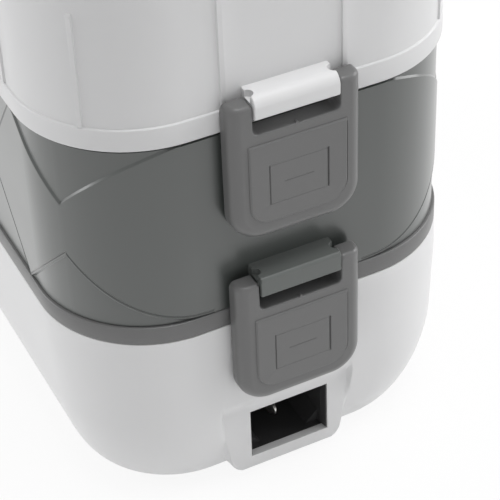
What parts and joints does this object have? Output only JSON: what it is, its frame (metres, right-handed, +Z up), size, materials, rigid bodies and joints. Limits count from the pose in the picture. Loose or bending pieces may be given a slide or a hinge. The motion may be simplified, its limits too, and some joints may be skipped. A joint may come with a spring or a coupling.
{
  "type": "electric lunch box",
  "caption": "Two-tier heated lunch box with a white base and lid, a patterned grey tier, side latches, a fold-flat carry handle and a rear power inlet.",
  "frame": {"origin": "middle of the footprint, on the surface that the feet stand on", "axes": "+Z up, X along the box with the power inlet at the +X end, Y across it"},
  "size_m": [0.2418, 0.12, 0.1822],
  "materials": {
    "white_plastic": "satin moulded",
    "grey_plastic": "satin moulded",
    "tier_plastic": "satin moulded",
    "black_plastic": "matt moulded",
    "clear_plastic": "frosted",
    "steel": "brushed",
    "aluminium": "milled",
    "brass": "bright",
    "insulation": "film wrapped",
    "silicone": "matt",
    "rubber": "matt",
    "sleeve": "woven sleeve",
    "brown_lead": "extruded",
    "blue_lead": "extruded",
    "green_lead": "extruded",
    "lens": "polished"
  },
  "bodies": {
    "base": {"base_shell": "white_plastic", "base_ring": "grey_plastic", "heating_tray": "steel", "tray_gasket": "silicone", "heat_spreader": "aluminium", "ptc_element": "insulation", "heater_clamp": "steel", "clamp_screws": "steel", "thermostat": "black_plastic", "thermal_fuse": "sleeve", "inlet_socket": "black_plastic", "inlet_pins": "brass", "inlet_retainer": "steel", "retainer_screw": "steel", "live_wire": "brown_lead", "neutral_wire": "blue_lead", "link_wire": "sleeve", "earth_wire": "green_lead", "earth_nut": "steel", "indicator_lens": "lens", "indicator_lamp": "sleeve", "rubber_feet": "rubber", "base_screws": "steel"},
    "lower_box": {"lower_container": "steel"},
    "lower_lid": {"lower_cover": "clear_plastic", "lower_cover_seal": "silicone"},
    "tier": {"tier_shell": "tier_plastic", "tier_liner": "steel", "tier_seal": "silicone"},
    "upper_box": {"upper_container": "steel"},
    "upper_lid": {"upper_cover": "clear_plastic", "upper_cover_seal": "silicone"},
    "lid": {"lid_shell": "white_plastic", "lid_liner": "steel", "lid_seal": "silicone", "handle_pins": "steel"},
    "handle": {"handle": "grey_plastic"},
    "vent_plug": {"vent_plug": "grey_plastic"},
    "upper_latch_inlet": {"upper_latch_inlet_end": "grey_plastic", "upper_pin_inlet_end": "steel"},
    "upper_latch_far": {"upper_latch_far_end": "grey_plastic", "upper_pin_far_end": "steel"},
    "lower_latch_inlet": {"lower_latch_inlet_end": "grey_plastic", "lower_pin_inlet_end": "steel"},
    "lower_latch_far": {"lower_latch_far_end": "grey_plastic", "lower_pin_far_end": "steel"}
  },
  "joints": [
    {"name": "tier_lift", "type": "slide", "parent": "base", "child": "tier", "axis": [0, 0, 1], "range_m": [0, 0.15]},
    {"name": "lid_lift", "type": "slide", "parent": "tier", "child": "lid", "axis": [0, 0, 1], "range_m": [0, 0.13]},
    {"name": "lower_box_lift", "type": "slide", "parent": "base", "child": "lower_box", "axis": [0, 0, 1], "range_m": [0, 0.06]},
    {"name": "lower_cover_lift", "type": "slide", "parent": "lower_box", "child": "lower_lid", "axis": [0, 0, 1], "range_m": [0, 0.03]},
    {"name": "upper_box_lift", "type": "slide", "parent": "tier", "child": "upper_box", "axis": [0, 0, 1], "range_m": [0, 0.0585]},
    {"name": "upper_cover_lift", "type": "slide", "parent": "upper_box", "child": "upper_lid", "axis": [0, 0, 1], "range_m": [0, 0.0325]},
    {"name": "handle_swing", "type": "hinge", "parent": "lid", "child": "handle", "pos_m": [0, 0, 0.1767], "axis": [1, 0, 0], "range_deg": [0, 90]},
    {"name": "vent_plug_pull", "type": "slide", "parent": "lid", "child": "vent_plug", "axis": [0, 0, 1], "range_m": [0, 0.006]},
    {"name": "upper_latch_inlet_swing", "type": "hinge", "parent": "lid", "child": "upper_latch_inlet", "pos_m": [0.11764, 0, 0.1314], "axis": [0, -1, 0], "range_deg": [0, 110]},
    {"name": "upper_latch_far_swing", "type": "hinge", "parent": "lid", "child": "upper_latch_far", "pos_m": [-0.11764, 0, 0.1314], "axis": [0, 1, 0], "range_deg": [0, 110]},
    {"name": "lower_latch_inlet_swing", "type": "hinge", "parent": "tier", "child": "lower_latch_inlet", "pos_m": [0.1179, 0, 0.0758], "axis": [0, -1, 0], "range_deg": [0, 110]},
    {"name": "lower_latch_far_swing", "type": "hinge", "parent": "tier", "child": "lower_latch_far", "pos_m": [-0.1179, 0, 0.0758], "axis": [0, 1, 0], "range_deg": [0, 110]}
  ],
  "couplings": [
    {"joint": "lower_box_lift", "follows": "tier_lift", "ratio": 0.4},
    {"joint": "lower_cover_lift", "follows": "tier_lift", "ratio": 0.2},
    {"joint": "upper_box_lift", "follows": "lid_lift", "ratio": 0.45},
    {"joint": "upper_cover_lift", "follows": "lid_lift", "ratio": 0.25}
  ]
}
